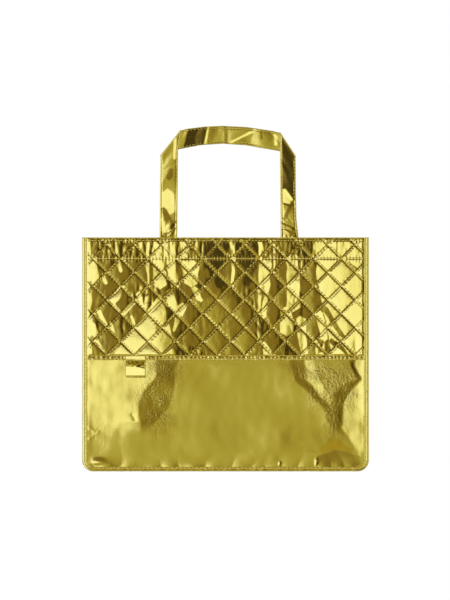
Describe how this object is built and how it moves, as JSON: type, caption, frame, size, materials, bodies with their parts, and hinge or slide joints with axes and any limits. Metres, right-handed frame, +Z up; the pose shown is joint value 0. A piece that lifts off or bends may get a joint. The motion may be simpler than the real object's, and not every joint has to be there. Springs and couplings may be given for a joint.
{
  "type": "gift bag",
  "caption": "Wide gusseted gift bag in shiny gold laminate, quilted above a plain lower panel, with folded strap handles, bound edges and a small folded label tab.",
  "frame": {"origin": "on the floor, in the middle of the open bag", "axes": "+Z up, front panel faces -Y, +X to the right seen from the front"},
  "size_m": [0.4, 0.129, 0.4818],
  "materials": {
    "gold_laminate": "gloss",
    "white_backing": "matte",
    "wadding": "matte",
    "gold_thread": "satin"
  },
  "bodies": {
    "front": {"front_quilt_face": "gold_laminate", "front_wadding": "wadding", "front_quilt_backing": "white_backing", "front_lower_panel": "gold_laminate", "front_seam_band": "gold_laminate", "front_binding": "gold_laminate", "front_mouth_hem": "gold_laminate", "front_handle_tails": "gold_laminate", "front_quilting_thread": "gold_thread", "front_hem_thread": "gold_thread", "front_band_thread": "gold_thread", "front_binding_thread": "gold_thread", "label_tab_anchor": "gold_laminate", "label_tab_thread": "gold_thread", "left_corner_gusset": "gold_laminate", "right_corner_gusset": "gold_laminate"},
    "left_gusset_front": {"left_gusset_front_half": "gold_laminate"},
    "left_gusset_rear": {"left_gusset_rear_half": "gold_laminate"},
    "back": {"back_quilt_face": "gold_laminate", "back_wadding": "wadding", "back_quilt_backing": "white_backing", "back_lower_panel": "gold_laminate", "back_seam_band": "gold_laminate", "back_binding": "gold_laminate", "back_mouth_hem": "gold_laminate", "back_handle_tails": "gold_laminate", "back_quilting_thread": "gold_thread", "back_hem_thread": "gold_thread", "back_band_thread": "gold_thread", "back_binding_thread": "gold_thread"},
    "right_gusset_front": {"right_gusset_front_half": "gold_laminate"},
    "right_gusset_rear": {"right_gusset_rear_half": "gold_laminate"},
    "bottom_gusset_front": {"bottom_gusset_front_half": "gold_laminate"},
    "bottom_gusset_rear": {"bottom_gusset_rear_half": "gold_laminate"},
    "front_handle": {"front_handle": "gold_laminate", "front_handle_thread": "gold_thread"},
    "back_handle": {"back_handle": "gold_laminate", "back_handle_thread": "gold_thread"},
    "label_tab": {"label_tab": "gold_laminate"}
  },
  "joints": [
    {"name": "gusset_fold", "type": "hinge", "parent": "front", "child": "left_gusset_front", "pos_m": [-0.193, -0.059, 0.17], "axis": [0, 0, -1], "range_deg": [0, 84], "deforming": ["left_corner_gusset", "right_corner_gusset"]},
    {"name": "left_gusset_crease", "type": "hinge", "parent": "left_gusset_front", "child": "left_gusset_rear", "pos_m": [-0.194, 0, 0.2], "axis": [0, 0, 1], "range_deg": [0, 168]},
    {"name": "back_panel_fold", "type": "hinge", "parent": "left_gusset_rear", "child": "back", "pos_m": [-0.193, 0.059, 0.17], "axis": [0, 0, -1], "range_deg": [0, 84]},
    {"name": "right_gusset_fold", "type": "hinge", "parent": "front", "child": "right_gusset_front", "pos_m": [0.193, -0.059, 0.17], "axis": [0, 0, 1], "range_deg": [0, 84]},
    {"name": "right_gusset_crease", "type": "hinge", "parent": "right_gusset_front", "child": "right_gusset_rear", "pos_m": [0.194, 0, 0.2], "axis": [0, 0, -1], "range_deg": [0, 168]},
    {"name": "bottom_gusset_fold", "type": "hinge", "parent": "front", "child": "bottom_gusset_front", "pos_m": [0, -0.059, 0.007], "axis": [1, 0, 0], "range_deg": [0, 84]},
    {"name": "bottom_gusset_crease", "type": "hinge", "parent": "bottom_gusset_front", "child": "bottom_gusset_rear", "pos_m": [0, 0, 0.006], "axis": [-1, 0, 0], "range_deg": [0, 168]},
    {"name": "front_handle_swing", "type": "hinge", "parent": "front", "child": "front_handle", "pos_m": [0, -0.0617, 0.3268], "axis": [1, 0, 0], "range_deg": [0, 170]},
    {"name": "back_handle_swing", "type": "hinge", "parent": "back", "child": "back_handle", "pos_m": [0, 0.0617, 0.3268], "axis": [-1, 0, 0], "range_deg": [0, 170]},
    {"name": "label_tab_lift", "type": "hinge", "parent": "front", "child": "label_tab", "pos_m": [-0.1257, -0.0655, 0.1544], "axis": [-1, 0, 0], "range_deg": [0, 170]}
  ],
  "couplings": [
    {"joint": "left_gusset_crease", "follows": "gusset_fold", "ratio": 2},
    {"joint": "back_panel_fold", "follows": "gusset_fold", "ratio": 1},
    {"joint": "right_gusset_fold", "follows": "gusset_fold", "ratio": 1},
    {"joint": "right_gusset_crease", "follows": "gusset_fold", "ratio": 2},
    {"joint": "bottom_gusset_fold", "follows": "gusset_fold", "ratio": 1},
    {"joint": "bottom_gusset_crease", "follows": "gusset_fold", "ratio": 2}
  ]
}
